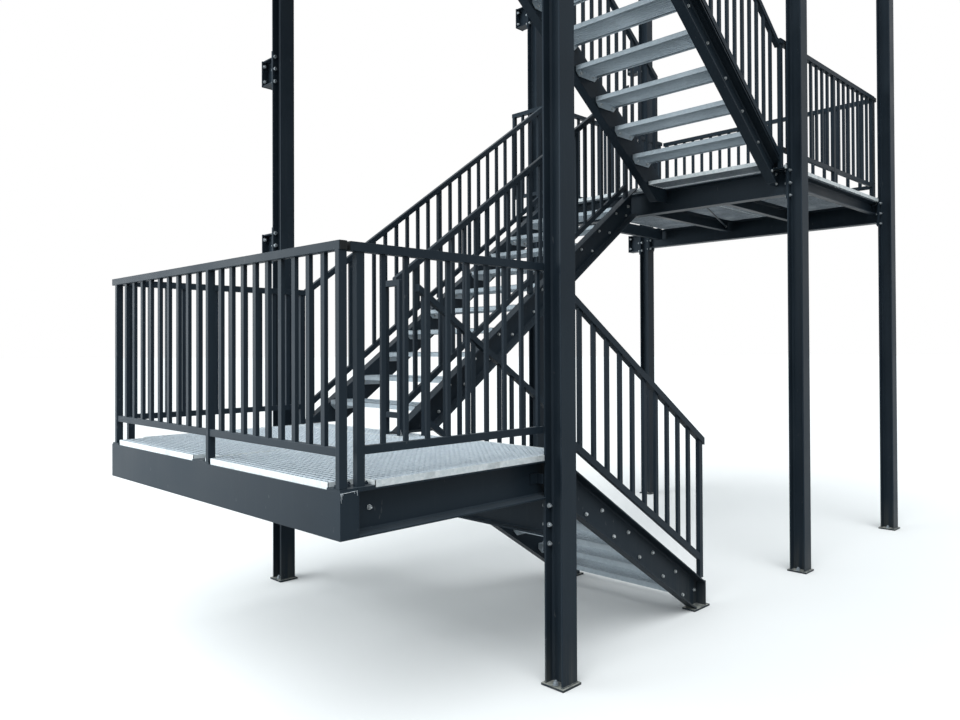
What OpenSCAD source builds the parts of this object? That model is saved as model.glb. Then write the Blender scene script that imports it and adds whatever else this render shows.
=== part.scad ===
// Outdoor steel escape stair: six columns, a cantilevered lower landing, three flights and two more landings.
// Millimetres, +Z up, +X along the wall, +Y towards the wall. Column A stands at the plan point (0, 0).

/* [Column grid] */
// Distance from column line A/E to column line B/F, along the stair
bay_flight = 2968; // [2900:1:3040]
// Distance from column line B/F to column line C/D, along the stair
bay_landing = 2045; // [1800:1:2400]
// Distance from the near columns to the wall columns
bay_depth = 2732; // [2720:1:2860]
// Height of the six columns
column_height = 6250; // [6000:10:7200]

/* [Levels] */
// Walking level of the lower landing
lower_level = 1200; // [1150:1:1230]
// Walking level of the upper landing
upper_level = 3205; // [3180:1:3230]
// Walking level of the top landing
top_level = 5273; // [5250:1:5300]

/* [Flights] */
// Rise of flight 1
rise_low = 173.5; // [170:0.5:176]
// Going of flight 1
going_low = 268; // [264:0.5:270]
// Risers of flight 2, and of flight 3
risers_high = 11; // [11:1:11]
// Going of flight 2
going_mid = 253.5; // [252:0.5:256]
// Going of flight 3
going_top = 256.3; // [254:0.1:258]
// Depth of a grating tread
tread_depth = 270; // [240:5:280]
// Clear width between the stringer webs
tread_length = 1000; // [960:10:1000]
// Depth of the stringer channels
stringer_depth = 200; // [180:10:200]

/* [Railings] */
// Height of the top rail above a landing
rail_height = 1003; // [900:1:1100]
// Side of the square rails
tube = 40; // [35:1:45]
// Side of the square pickets
picket = 16; // [12:1:20]

/* [Output] */
// Sub-part to build

/* [Hidden] */
$fn = 32;
eps = 0.01;

// Steel colours
paint = [0.16, 0.18, 0.20];
zinc = [0.62, 0.66, 0.68];

// Columns, wide-flange section
col_side = 120;
col_web = 6.5;
col_flange = 11;
col_fillet = 9;
plate_side = 150;
plate_t = 12;
anchor_pitch = 88;
anchor_d = 18;

// Landing beams: I-beams across the stair on bolted end plates
beam_h = 200;
beam_b = 100;
beam_web = 5.6;
beam_flange = 8.5;
beam_fillet = 9;
grating_h = 30;
end_plate_t = 12;
end_plate_h = 280;
end_plate_w = 110;
end_plate_rise = 45;

// Channels: width, web, and the flange's thickness at its toe and at its root
chan_b = 75;
chan_web = 8.5;
chan_toe = 8.5;
chan_root = 13.5;
chan_fillet = 8;
small_chan_b = 55;

// Treads: cut-corner carrier plates, front and rear bands round the grating
carrier_t = 5;
carrier_h = 75;
carrier_cut = 35;
carrier_front = 40;
band_t = 5;
band_h = 35;
nosing_w = 30;
mesh_drop = 2;

// Railing posts: flat tubes, broad side along X
post_x = 40;
post_y = 30;
shoe_t = 10;

// Plan positions across the stair
near_web_y = 172;
inner_web_1 = near_web_y + tread_length;
inner_web_2 = 1490;
wall_web_y = inner_web_2 + tread_length;
near_rail_y = 70;
flight_rail_1 = 112;
inner_rail_1 = 1228;
inner_rail_2 = 1450;
wall_rail_y = 2505;
wall_y = 2960;

// Lower landing, with the trimmer that carries the head of flight 1
fascia_x = -1352;
fascia_w = 92;
landing_y0 = 43;
landing_y1 = 2510;
middle_y = 1266;
lower_beam_top = lower_level - grating_h;
trimmer_x = 150;
landing_edge_x = 156;
column_gap = 2;

// Upper landing
upper_beam_top = upper_level - grating_h;
upper_x0 = bay_flight - 130;
upper_x1 = bay_flight + bay_landing;
edge_chan_h = 120;

// Top landing
top_beam_top = top_level - grating_h;

// Nosings: the lowest treads lie a little under the even division of each flight
sink = 13;
nose_low = 106;
first_shift = 28;
nose_mid = 266;
nose_top = 2686;
rise_mid = (upper_level - lower_level) / risers_high;
first_top = 196;
rise_top = (top_level - upper_level - first_top) / (risers_high - 1);
slope_low = rise_low / going_low;
slope_mid = rise_mid / going_mid;
slope_top = rise_top / going_top;

// Stringers: height of the top edge over the line of the nosings, and the ends
lift_low = -22;
lift_mid = -12;
lift_top = -23;
foot_x = 1655;
foot_plate_t = 12;
head_mid_x = 2850;
foot_mid_x = 400;
foot_top_x = 2962;

// Sloping rails: height of the top rail over the line of the nosings, and the gap down to the lower rail
rail_low_h = 950;
rail_mid_inner_h = 1006;
slope_mid_inner = 0.708;
rail_mid_wall_h = 990;
rail_top_h = 919;
gap_low = 812;
gap_high = 868;

// Frame: the box of the whole stair is centred on the origin
box_x0 = fascia_x;
box_x1 = bay_flight + bay_landing + plate_side / 2;
box_y0 = -plate_side / 2;
box_y1 = wall_y;
shift_x = -(box_x0 + box_x1) / 2;
shift_y = -(box_y0 + box_y1) / 2;

module block(x0, x1, y0, y1, z0, z1) {
    translate([x0, y0, z0])
        cube([x1 - x0, y1 - y0, z1 - z0]);
}

// Plate of the plane X-Z, drawn as (x, z) points and given a thickness along Y
module slab_xz(points, y0, thick) {
    translate([0, y0 + thick, 0])
        rotate([90, 0, 0])
            linear_extrude(thick)
                polygon(points);
}

// Rolled section with two flanges and a filleted web, flanges level, centred on the origin
module i_profile(width, height, web, flange, fillet) {
    half = height / 2;
    union() {
        for (s = [-1, 1])
            polygon([
                [-width / 2, s * half], [width / 2, s * half],
                [width / 2, s * (half - flange)], [web / 2 + fillet, s * (half - flange)],
                [web / 2, s * (half - flange - fillet)], [-web / 2, s * (half - flange - fillet)],
                [-web / 2 - fillet, s * (half - flange)], [-width / 2, s * (half - flange)]
            ]);
        translate([-web / 2, -half + flange])
            square([web, height - 2 * flange]);
    }
}

// Channel with tapered flanges: back on the line x = 0, toes towards +x, foot on y = 0
module channel_profile(width, height) {
    inner = chan_root + chan_fillet;
    polygon([
        [0, 0], [width, 0], [width, chan_toe], [chan_web + chan_fillet, chan_root],
        [chan_web, inner], [chan_web, height - inner],
        [chan_web + chan_fillet, height - chan_root], [width, height - chan_toe],
        [width, height], [0, height]
    ]);
}

// Channel along +X from the origin, its top on z = 0. toe is the side that its flanges point to
module channel_bar(length, toe, width, height) {
    translate([0, 0, -height])
        rotate([90, 0, 90])
            linear_extrude(length)
                if (toe > 0)
                    channel_profile(width, height);
                else
                    mirror([1, 0])
                        channel_profile(width, height);
}

module channel_x(x0, x1, y_back, toe, top, width, height) {
    translate([x0, y_back, top])
        channel_bar(x1 - x0, toe, width, height);
}

module channel_y(x_back, toe, y0, y1, top, width, height) {
    translate([x_back, y0, top])
        rotate([0, 0, 90])
            channel_bar(y1 - y0, -toe, width, height);
}

// Columns: base plate with two anchor holes, wide-flange shaft, cap plate
module column(x, y) {
    translate([x, y, 0]) {
        difference() {
            translate([-plate_side / 2, -plate_side / 2, 0])
                cube([plate_side, plate_side, plate_t]);
            for (side = [-1, 1])
                translate([side * anchor_pitch / 2, 0, -1])
                    cylinder(d = anchor_d, h = plate_t + 2);
        }
        translate([0, 0, plate_t - eps])
            linear_extrude(column_height - 2 * plate_t + 2 * eps)
                i_profile(col_side, col_side, col_web, col_flange, col_fillet);
        translate([-col_side / 2, -col_side / 2, column_height - plate_t])
            cube([col_side, col_side, plate_t]);
    }
}

// Beam across the stair between the flanges of two columns
module cross_beam(x, top) {
    y0 = col_side / 2;
    y1 = bay_depth - col_side / 2;
    union() {
        translate([x, y1 - end_plate_t + eps, top - beam_h / 2])
            rotate([90, 0, 0])
                linear_extrude(y1 - y0 - 2 * end_plate_t + 2 * eps)
                    i_profile(beam_b, beam_h, beam_web, beam_flange, beam_fillet);
        for (y = [y0, y1 - end_plate_t])
            block(
                x - end_plate_w / 2, x + end_plate_w / 2, y, y + end_plate_t,
                top + end_plate_rise - end_plate_h, top + end_plate_rise
            );
    }
}

// Cross beam that other beams rest on: its end plates reach only up to its top
module seat_beam(x, top) {
    difference() {
        cross_beam(x, top);
        block(x - end_plate_w, x + end_plate_w, -1, bay_depth, top, top + end_plate_rise + 1);
    }
    for (y = [col_side / 2, bay_depth - col_side / 2 - end_plate_t])
        block(
            x - end_plate_w / 2, x + end_plate_w / 2, y, y + end_plate_t,
            top - end_plate_h, top - beam_h + eps
        );
}

// Box fascia of a cantilevered landing, with the plates that the left railing's posts stand on
left_posts = [63, 1220, 2450];
left_plates = [[45, 142], [1202, 1390], [2412, 2500]];

module landing_fascia(top)
    union() {
        block(fascia_x, fascia_x + fascia_w, landing_y0, landing_y1, top - beam_h, top);
        for (plate = left_plates)
            block(
                fascia_x + 1, fascia_x + fascia_w - 2, plate[0], plate[1], top - 1, top + shoe_t
            );
    }

// Channels of a cantilevered landing between its fascia and the trimmer
module landing_near_beam(top) {
    x0 = fascia_x + fascia_w + 0.5;
    flange_clear = col_side / 2 + column_gap;
    difference() {
        channel_x(x0, trimmer_x - chan_b, landing_y0 + chan_b, -1, top, chan_b, beam_h);
        block(-flange_clear, trimmer_x, landing_y0 - 1, flange_clear, top - beam_h - 1, top + 1);
    }
}

module landing_wall_beam(top)
    channel_x(
        fascia_x + fascia_w + 0.5, trimmer_x - chan_b, landing_y1 - chan_b, 1,
        top, chan_b, beam_h
    );

module landing_middle_beam(top)
    union() {
        channel_x(fascia_x + fascia_w + 0.5, trimmer_x - chan_b + 1, middle_y, 1, top, chan_b, beam_h);
        channel_y(trimmer_x, -1, landing_y0 + 2 * column_gap, landing_y1, top, chan_b, beam_h);
    }

// Grating fields of a cantilevered landing, notched round the posts and the column
grating_far_y = 2474;
post_plates = fascia_x + fascia_w;

module notch(x0, x1, y0, y1, level)
    block(x0, x1, y0, y1, level - grating_h - 1, level + 1);

module landing_gratings(level) {
    z0 = level - grating_h;
    clear = col_side / 2 + 10;
    difference() {
        block(fascia_x + 8, landing_edge_x, landing_y0 + 2, 1257, z0, level);
        notch(fascia_x, -1172, landing_y0, 142, level);
        notch(-clear, clear, landing_y0, clear, level);
        notch(fascia_x, -1307, 1201, 1239, level);
        block(fascia_x, post_plates, 1201, 1258, z0 - 1, z0 + shoe_t + 1);
    }
    difference() {
        block(fascia_x + 8, landing_edge_x, 1262, grating_far_y, z0, level);
        notch(fascia_x, post_plates, 1261, 1391, level);
        notch(fascia_x, -1172, left_plates[2][0] - 1, grating_far_y + 1, level);
        children();
    }
}

// Stringer: sloping channel with plumb ends, cut level at z_cut
module stringer(x0, x1, x_ref, z_ref, slope, y_back, toe, z_cut) {
    angle = atan(slope);
    spare = stringer_depth;
    back = (x_ref - x0) / cos(angle) + spare;
    length = (x1 - x0) / cos(angle) + 2 * spare;
    intersection() {
        translate([x_ref, y_back, z_ref])
            rotate([0, -angle, 0])
                translate([-back, 0, 0])
                    channel_bar(length, toe, chan_b, stringer_depth);
        block(x0, x1, y_back - chan_b - 1, y_back + chan_b + 1, z_cut, column_height + 1000);
    }
}

// Upright plate closing a stringer's end
module stringer_end(x0, x1, y_back, toe, z0, z1) {
    ya = y_back + toe;
    yb = y_back + toe * (chan_b + 2);
    block(x0, x1, min(ya, yb), max(ya, yb), z0, z1);
}

// Grating tread: nosing and rear band round the mesh, carried by two plates with cut corners.
// face is +1 where the nosing looks to +X
module tread(x_nose, face, y0, top) {
    x_back = x_nose - face * tread_depth;
    x_in = x_nose - face * nosing_w;
    y_a = y0 + carrier_t;
    y_b = y0 + tread_length - carrier_t;
    union() {
        block(min(x_nose, x_in), max(x_nose, x_in), y_a - 1, y_b + 1, top - band_h, top);
        block(
            min(x_back, x_back + face * band_t), max(x_back, x_back + face * band_t),
            y_a - 1, y_b + 1, top - band_h, top
        );
        block(
            min(x_in, x_back) - 1, max(x_in, x_back) + 1, y_a - 1, y_b + 1,
            top - grating_h, top - mesh_drop
        );
        for (y = [y0 + 0.5, y_b - 0.5])
            slab_xz(
                [
                    [x_nose, top], [x_back, top],
                    [x_back, top - carrier_front], [x_back + face * carrier_cut, top - carrier_h],
                    [x_nose - face * carrier_cut, top - carrier_h], [x_nose, top - carrier_front]
                ],
                y, carrier_t
            );
    }
}

// Railings
module post(x, y, z0, z1) {
    block(x - post_x / 2, x + post_x / 2, y - post_y / 2, y + post_y / 2, z0, z1);
}

module rail_x(x0, x1, y, top) {
    block(x0, x1, y - tube / 2, y + tube / 2, top - tube, top);
}

module rail_y(y0, y1, x, top) {
    block(x - tube / 2, x + tube / 2, y0, y1, top - tube, top);
}

// A field is [centre of one post, centre of the next, number of pickets]: equal clear gaps between them,
// wide being the side of the posts along the railing
function clear_gap(field, wide) = (field[1] - field[0] - wide - field[2] * picket) / (field[2] + 1);
function picket_at(field, wide, k) =
    field[0] + wide / 2 + k * clear_gap(field, wide) + (k - 0.5) * picket;

module picket_bar(x, y, z0, z1) {
    block(x - picket / 2, x + picket / 2, y - picket / 2, y + picket / 2, z0, z1);
}

// Height of the lower rail's underside and top over the walking level
low_rail_z0 = 112;
low_rail_z1 = low_rail_z0 + 36;

// Level railing along X: rails from x0 to x1, posts with shoe plates, and fields of pickets
module railing_x(x0, x1, y, level, posts, fields, shoe) {
    top = level + rail_height;
    low = level + low_rail_z1;
    base = level - grating_h;
    union() {
        rail_x(x0, x1, y, top);
        block(fields[0][0], fields[len(fields) - 1][1], y - post_y / 2 + 1, y + post_y / 2 - 1,
            level + low_rail_z0, low);
        for (x = posts) {
            post(x, y, base + shoe_t / 2, top - tube / 2);
            block(x + shoe[0], x + shoe[1], y - 27, y + 60, base, base + shoe_t);
        }
        for (field = fields)
            for (k = [1 : 1 : field[2]])
                picket_bar(picket_at(field, post_x, k), y, low - 1, top - tube / 2);
    }
}

// The same along Y. Without a shoe the posts stand on plates of the landing
module railing_y(y0, y1, x, level, posts, fields, shoe) {
    top = level + rail_height;
    low = level + low_rail_z1;
    base = level - grating_h;
    shod = len(shoe) > 0;
    union() {
        rail_y(y0, y1, x, top);
        block(x - post_y / 2 + 1, x + post_y / 2 - 1, fields[0][0], fields[len(fields) - 1][1],
            level + low_rail_z0, low);
        for (y = posts) {
            post(x, y, base + (shod ? shoe_t / 2 : shoe_t), top - tube / 2);
            if (shod)
                block(x - post_x / 2, x + 60, y + shoe[0], y + shoe[1], base, base + shoe_t);
        }
        for (field = fields)
            for (k = [1 : 1 : field[2]])
                picket_bar(x, picket_at(field, post_y, k), low - 1, top - tube / 2);
    }
}

// Sloping railing over a stringer: z = z_ref + (x - x_ref) * slope is the top of the rail,
// foot is how far the posts reach under that line
module railing_slope(x0, x1, x_ref, z_ref, slope, y, gap, posts, fields, foot) {
    thin = tube * sqrt(1 + slope * slope);
    low0 = fields[0][0];
    low1 = fields[len(fields) - 1][1];
    function line(x) = z_ref + (x - x_ref) * slope;
    union() {
        slab_xz(
            [[x0, line(x0) - thin], [x1, line(x1) - thin], [x1, line(x1)], [x0, line(x0)]],
            y - tube / 2, tube
        );
        slab_xz(
            [
                [low0, line(low0) - gap - thin], [low1, line(low1) - gap - thin],
                [low1, line(low1) - gap], [low0, line(low0) - gap]
            ],
            y - post_y / 2 + 1, post_y - 2
        );
        for (x = posts)
            post(x, y, line(x) - foot, line(x) - thin / 2);
        for (field = fields)
            for (k = [1 : 1 : field[2]]) {
                x = picket_at(field, post_x, k);
                picket_bar(x, y, line(x) - gap - thin / 2, line(x) - thin / 2);
            }
    }
}

module column_a() color(paint) column(0, 0);
module column_b() color(paint) column(bay_flight, 0);
module column_c() color(paint) column(bay_flight + bay_landing, 0);
module column_d() color(paint) column(bay_flight + bay_landing, bay_depth);
module column_e() color(paint) column(0, bay_depth);
module column_f() color(paint) column(bay_flight, bay_depth);

// Lower landing
module lower_fascia() color(paint) landing_fascia(lower_beam_top);

module lower_near_beam() color(paint) landing_near_beam(lower_beam_top);
module lower_wall_beam() color(paint) landing_wall_beam(lower_beam_top);
module lower_middle_beam() color(paint) landing_middle_beam(lower_beam_top);
module lower_cross_beam() color(paint) seat_beam(0, lower_beam_top - beam_h - 0.5);
module lower_gratings() color(zinc)
    landing_gratings(lower_level)
        for (y = guard_y)
            notch(-tube / 2 - 1, 61, y - post_y / 2 - 1, y + post_y / 2 + 1, lower_level);

// Flight 1, ground to lower landing, climbing to -X
module flight1_stringer(y_back, toe) {
    end_t = 10;
    x0 = trimmer_x + 0.5;
    union() {
        stringer(x0 + end_t - 1, foot_x, nose_low, lower_level + lift_low, -slope_low, y_back, toe, 1);
        stringer_end(x0, x0 + end_t, y_back, toe, lower_beam_top - beam_h, lower_beam_top - 2);
        stringer_end(foot_x - 1, foot_x + end_t, y_back, toe, 1, 176);
        block(
            foot_x - 150, foot_x + 45,
            min(y_back, y_back + toe * chan_b) - 10, max(y_back, y_back + toe * chan_b) + 10,
            0, foot_plate_t
        );
    }
}

module flight1_near_stringer() color(paint) flight1_stringer(near_web_y - 0.5, -1);
module flight1_inner_stringer() color(paint) flight1_stringer(inner_web_1 + 0.5, 1);

module flight1_treads() color(zinc)
    for (k = [1 : 6])
        tread(
            nose_low + k * going_low - (k == 6 ? first_shift : 0), 1, near_web_y,
            lower_level - sink + 10 - k * rise_low
        );

// Flight 2, lower to upper landing, climbing to +X along the wall
module flight2_stringer(y_back, toe) {
    y_toe = y_back + toe * chan_b;
    union() {
        stringer(
            40, head_mid_x, nose_mid, lower_level + rise_mid - sink + lift_mid, slope_mid,
            y_back, toe, lower_level + 2
        );
        block(50, foot_mid_x, min(y_back, y_toe) - 8, max(y_back, y_toe) + 8, lower_level, lower_level + 9);
    }
}

module flight2_inner_stringer() color(paint) flight2_stringer(inner_web_2 - 0.5, -1);
module flight2_wall_stringer() color(paint) flight2_stringer(wall_web_y + 0.5, 1);

module flight2_treads() color(zinc)
    for (k = [1 : risers_high - 1])
        tread(
            nose_mid + (k - 1) * going_mid, -1, inner_web_2,
            lower_level + k * rise_mid - sink
        );

// Flight 3, upper to top landing, climbing to -X over flight 1
module flight3_stringer(y_back, toe) {
    union() {
        stringer(
            trimmer_x + 1, foot_top_x, nose_top, upper_level + first_top + lift_top, -slope_top,
            y_back, toe, upper_beam_top - edge_chan_h
        );
        stringer_end(
            trimmer_x + 0.5, trimmer_x + 10, y_back, toe,
            top_beam_top - beam_h, top_beam_top - 2
        );
    }
}

module flight3_near_stringer() color(paint) flight3_stringer(near_web_y - 0.5, -1);
module flight3_inner_stringer() color(paint) flight3_stringer(inner_web_1 + 0.5, 1);

module flight3_treads() color(zinc)
    for (k = [1 : risers_high - 1])
        tread(
            nose_top - (k - 1) * going_top, 1, near_web_y,
            upper_level + first_top + (k - 1) * rise_top
        );

// Upper landing
module upper_inner_beam() color(paint) cross_beam(bay_flight, upper_beam_top);
module upper_outer_beam() color(paint) cross_beam(bay_flight + bay_landing, upper_beam_top);

module upper_frame() color(paint) {
    x0 = bay_flight + beam_b / 2 + 0.5;
    x1 = bay_flight + bay_landing - beam_b / 2 - 0.5;
    for (y = [near_rail_y + 60, 865, 1655])
        channel_x(x0, x1, y, -1, upper_beam_top, small_chan_b, edge_chan_h);
    channel_x(x0, x1, wall_rail_y - 25, 1, upper_beam_top, small_chan_b, edge_chan_h);
}

module upper_gratings() color(zinc) {
    z0 = upper_level - grating_h;
    clear = col_side / 2 + 10;
    far_x = upper_x1 + 45;
    difference() {
        block(2890, far_x, 50, 1240, z0, upper_level);
        for (x = [bay_flight, upper_x1])
            notch(x - clear, x + clear, 0, clear, upper_level);
        for (x = upper_posts_x)
            notch(x - 25, x + 25, near_rail_y, near_rail_y + 91, upper_level);
        notch(end_rail_x - 21, far_x + 1, end_posts_y[0] - 21, end_posts_y[0] + 21, upper_level);
    }
    block(nose_top - 40, 2886, near_web_y + 4, inner_web_1 - 4, z0, upper_level);
    difference() {
        block(upper_x0, far_x, 1244, wall_rail_y - 52, z0, upper_level);
        for (y = [end_posts_y[1], end_posts_y[2]])
            notch(end_rail_x - 21, far_x + 1, y - 21, y + 21, upper_level);
    }
}

// Top landing
module top_frame() color(paint) {
    seat_beam(0, top_beam_top - beam_h - 0.5);
    landing_fascia(top_beam_top);
    landing_near_beam(top_beam_top);
    landing_wall_beam(top_beam_top);
    landing_middle_beam(top_beam_top);
}

module top_gratings() color(zinc)
    landing_gratings(top_level)
        for (y = top_end_posts)
            notch(top_end_x - 21, top_end_x + 61, y - 21, y + 21, top_level);

// Railings of the lower and the top landing
left_fields = [[left_posts[0], left_posts[1], 9], [left_posts[1], left_posts[2], 9]];
corner_post_x = -1238.5;
near_end_x = -65;

module left_railing(level)
    railing_y(45, landing_y1 + 5, fascia_x + tube / 2, level, left_posts, left_fields, []);

module near_railing(level)
    difference() {
        railing_x(
            -1292, near_end_x, near_rail_y, level, [corner_post_x],
            [[corner_post_x - 12, 45, 9]], [-26, 66]
        );
        block(near_end_x, 100, 0, 150, level - 100, level + 1100);
    }

module wall_railing(level)
    railing_x(
        -1292, 40, wall_rail_y, level, [corner_post_x, 20],
        [[corner_post_x, 20, 10]], [-26, 26]
    );

module lower_left_railing() color(paint) left_railing(lower_level);
module lower_near_railing() color(paint) near_railing(lower_level);
module lower_wall_railing() color(paint) wall_railing(lower_level);
module top_left_railing() color(paint) left_railing(top_level);
module top_near_railing() color(paint) near_railing(top_level);
module top_wall_railing() color(paint) wall_railing(top_level);

// Short guard between flights 1 and 2
guard_y = [1315, 1467];

module guard_panels() color(paint)
    railing_y(
        guard_y[0] - 15, guard_y[1] + 15, 0, lower_level, guard_y,
        [[guard_y[0], guard_y[1], 0]], [-15, 15]
    );

top_end_x = 60;
top_end_posts = [1320, 2440];

module top_end_railing() color(paint)
    railing_y(
        top_end_posts[0] - 20, top_end_posts[1] + 20, top_end_x, top_level, top_end_posts,
        [[top_end_posts[0], top_end_posts[1], 9]], [-20, 20]
    );

// Sloping railings. The posts of flight 1 stand on the stringer's upper flange
module flight1_railing(y, first_post)
    railing_slope(
        first_post - 60, 1658, nose_low, lower_level + rail_low_h, -slope_low, y, gap_low,
        [first_post, 1616], [[169, 1612, 10]], rail_low_h - lift_low - 4
    );

module flight1_near_railing() color(paint) flight1_railing(flight_rail_1, 181);
module flight1_inner_railing() color(paint) flight1_railing(inner_rail_1, 130);

module flight2_railing(y, height, slope, posts)
    railing_slope(
        60, posts[2] + 40, nose_mid, lower_level + rise_mid - sink + height, slope, y, gap_high,
        posts, [[posts[0], posts[1], 10], [posts[1], posts[2], 10]], height - lift_mid - 20
    );

module flight2_inner_railing() color(paint)
    flight2_railing(inner_rail_2, rail_mid_inner_h, slope_mid_inner, [110, 1410, 2710]);

module flight2_wall_railing() color(paint)
    flight2_railing(wall_rail_y + 15, rail_mid_wall_h, slope_mid, [110, 1422, 2763]);

// The near one ends on the first post of the upper landing's railing
module flight3_railing(y, x1, posts, last)
    railing_slope(
        180, x1, nose_top, upper_level + first_top + rail_top_h, -slope_top, y, gap_high,
        posts, [[posts[0], posts[1], 10], [posts[1], last, 10]], rail_top_h - lift_top - 20
    );

module flight3_near_railing() color(paint)
    flight3_railing(flight_rail_1, upper_posts_x[0] - post_x / 2 - 0.5, [264, 1575], 2865);

module flight3_inner_railing() color(paint)
    flight3_railing(inner_rail_1, 2870, [264, 1575, 2850], 2850);

// Railings of the upper landing
upper_posts_x = [2886, 3960, upper_x1 - 103];
upper_fields = [[upper_posts_x[0], upper_posts_x[1], 8], [upper_posts_x[1], upper_posts_x[2], 7]];
end_posts_y = [115, 1290, 2430];
end_rail_x = upper_x1 - 18;

module upper_near_railing() color(paint)
    railing_x(
        2862, upper_x1 - 62, near_rail_y + 30, upper_level, upper_posts_x,
        upper_fields, [-24, 24]
    );

module upper_end_railing() color(paint)
    railing_y(
        85, 2470, end_rail_x, upper_level, end_posts_y,
        [[end_posts_y[0], end_posts_y[1], 9], [end_posts_y[1], end_posts_y[2], 9]], [-20, 20]
    );

// The wall railing turns the corner and closes the gap beside column F
return_x = 2852;
return_posts = [wall_rail_y - 20, 2925];

module upper_wall_railing() color(paint) {
    railing_x(
        return_x, upper_x1 - 62, wall_rail_y - 20, upper_level, upper_posts_x,
        upper_fields, [-24, 24]
    );
    difference() {
        railing_y(
            return_posts[0] - tube / 2, return_posts[1] + 20, return_x, upper_level, return_posts,
            [[return_posts[0], return_posts[1], 3]], []
        );
        block(
            return_x - tube, return_x + tube, return_posts[1] - post_y, return_posts[1] + post_y,
            upper_level - grating_h - 1, upper_level + low_rail_z0
        );
    }
}

// Wall ties: I-stub with an end plate on the column and one on the wall
tie_plate_h = 280;
tie_wall_h = 204;
tie_wall_w = 110;
tie_hole_x = 35;
tie_hole_z = 60;

module wall_tie(x, z) {
    y0 = bay_depth + col_side / 2 + 0.5;
    plate = 10;
    union() {
        block(x - col_side / 2, x + col_side / 2, y0, y0 + plate, z - tie_plate_h / 2, z + tie_plate_h / 2);
        difference() {
            block(
                x - tie_wall_w / 2, x + tie_wall_w / 2, wall_y - plate, wall_y,
                z - tie_wall_h / 2, z + tie_wall_h / 2
            );
            for (dx = [-1, 1])
                for (dz = [-1, 1])
                    translate([x + dx * tie_hole_x, wall_y - plate - 1, z + dz * tie_hole_z])
                        rotate([-90, 0, 0])
                            cylinder(d = anchor_d, h = plate + 2);
        }
        translate([x, wall_y - plate + eps, z])
            rotate([90, 0, 0])
                linear_extrude(wall_y - y0 - 2 * plate + 2 * eps)
                    i_profile(beam_b, beam_h, beam_web, beam_flange, 0.5);
    }
}

module wall_ties() color(paint) {
    for (z = [2560, 3925, 5240])
        wall_tie(0, z);
    for (x = [bay_flight, bay_flight + bay_landing])
        for (z = [3045, 5240])
            wall_tie(x, z);
}

translate([shift_x, shift_y, 0]) {
    column_a();
    column_b();
    column_c();
    column_d();
    column_e();
    column_f();
    lower_fascia();
    lower_near_beam();
    lower_wall_beam();
    lower_middle_beam();
    lower_cross_beam();
    lower_gratings();
    flight1_near_stringer();
    flight1_inner_stringer();
    flight1_treads();
    flight2_inner_stringer();
    flight2_wall_stringer();
    flight2_treads();
    flight3_near_stringer();
    flight3_inner_stringer();
    flight3_treads();
    upper_inner_beam();
    upper_outer_beam();
    upper_frame();
    upper_gratings();
    top_frame();
    top_gratings();
    lower_left_railing();
    lower_near_railing();
    lower_wall_railing();
    guard_panels();
    flight1_near_railing();
    flight1_inner_railing();
    flight2_inner_railing();
    flight2_wall_railing();
    flight3_near_railing();
    flight3_inner_railing();
    upper_near_railing();
    upper_end_railing();
    upper_wall_railing();
    top_left_railing();
    top_near_railing();
    top_wall_railing();
    top_end_railing();
    wall_ties();
}
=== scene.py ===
"""Looks of the outdoor steel escape stair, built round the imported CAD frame."""

from math import cos, pi, sin

import bpy
import numpy as np
from mathutils import Matrix, Vector


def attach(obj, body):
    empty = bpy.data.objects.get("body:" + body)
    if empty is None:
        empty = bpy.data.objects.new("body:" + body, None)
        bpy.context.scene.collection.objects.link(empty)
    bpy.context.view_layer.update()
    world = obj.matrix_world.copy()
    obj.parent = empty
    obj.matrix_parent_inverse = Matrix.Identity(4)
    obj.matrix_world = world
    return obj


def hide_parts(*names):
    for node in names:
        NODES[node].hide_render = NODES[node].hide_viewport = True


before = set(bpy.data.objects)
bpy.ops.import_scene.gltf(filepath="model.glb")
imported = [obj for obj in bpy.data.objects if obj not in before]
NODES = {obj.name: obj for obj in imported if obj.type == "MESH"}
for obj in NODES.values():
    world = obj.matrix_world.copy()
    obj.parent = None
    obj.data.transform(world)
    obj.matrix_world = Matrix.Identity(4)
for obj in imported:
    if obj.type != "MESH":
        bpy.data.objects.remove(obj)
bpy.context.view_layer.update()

# Plan place of column A in the frame's metres. Shapes are given in millimetres from it.
OFFSET = Vector((-1.868, -1.4425, 0.0))
MM = 0.001

# The camera that was fitted to the photograph's straight edges: angles in radians, and
# place in metres from column A
PHOTO_WIDTH = 960
SENSOR_WIDTH = 36.0
FOCAL_PIXELS, SHIFT_PIXELS = 788.877, -17.575
CAMERA_YAW, CAMERA_PITCH, CAMERA_ROLL = 0.78696, 0.00931, -0.00401
CAMERA_PLACE = Vector((-3.21624, -2.63585, 1.75))


def make_camera():
    """The camera at the photograph's viewing angle."""
    yaw, pitch, roll = CAMERA_YAW, CAMERA_PITCH, CAMERA_ROLL
    forward = Vector((cos(yaw) * cos(pitch), sin(yaw) * cos(pitch), sin(pitch)))
    right = Vector((sin(yaw), -cos(yaw), 0.0))
    up = right.cross(forward)
    side = right * cos(roll) + up * sin(roll)
    top = -right * sin(roll) + up * cos(roll)
    data = bpy.data.cameras.new("photo_camera")
    data.sensor_width = SENSOR_WIDTH
    data.lens = FOCAL_PIXELS / PHOTO_WIDTH * SENSOR_WIDTH
    data.shift_y = SHIFT_PIXELS / PHOTO_WIDTH
    data.clip_start, data.clip_end = 0.05, 200.0
    camera = bpy.data.objects.new("photo_camera", data)
    bpy.context.scene.collection.objects.link(camera)
    matrix = Matrix((side, top, -forward)).transposed().to_4x4()
    matrix.translation = CAMERA_PLACE + OFFSET
    camera.matrix_world = matrix
    bpy.context.scene.camera = camera


make_camera()


# Materials

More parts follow.
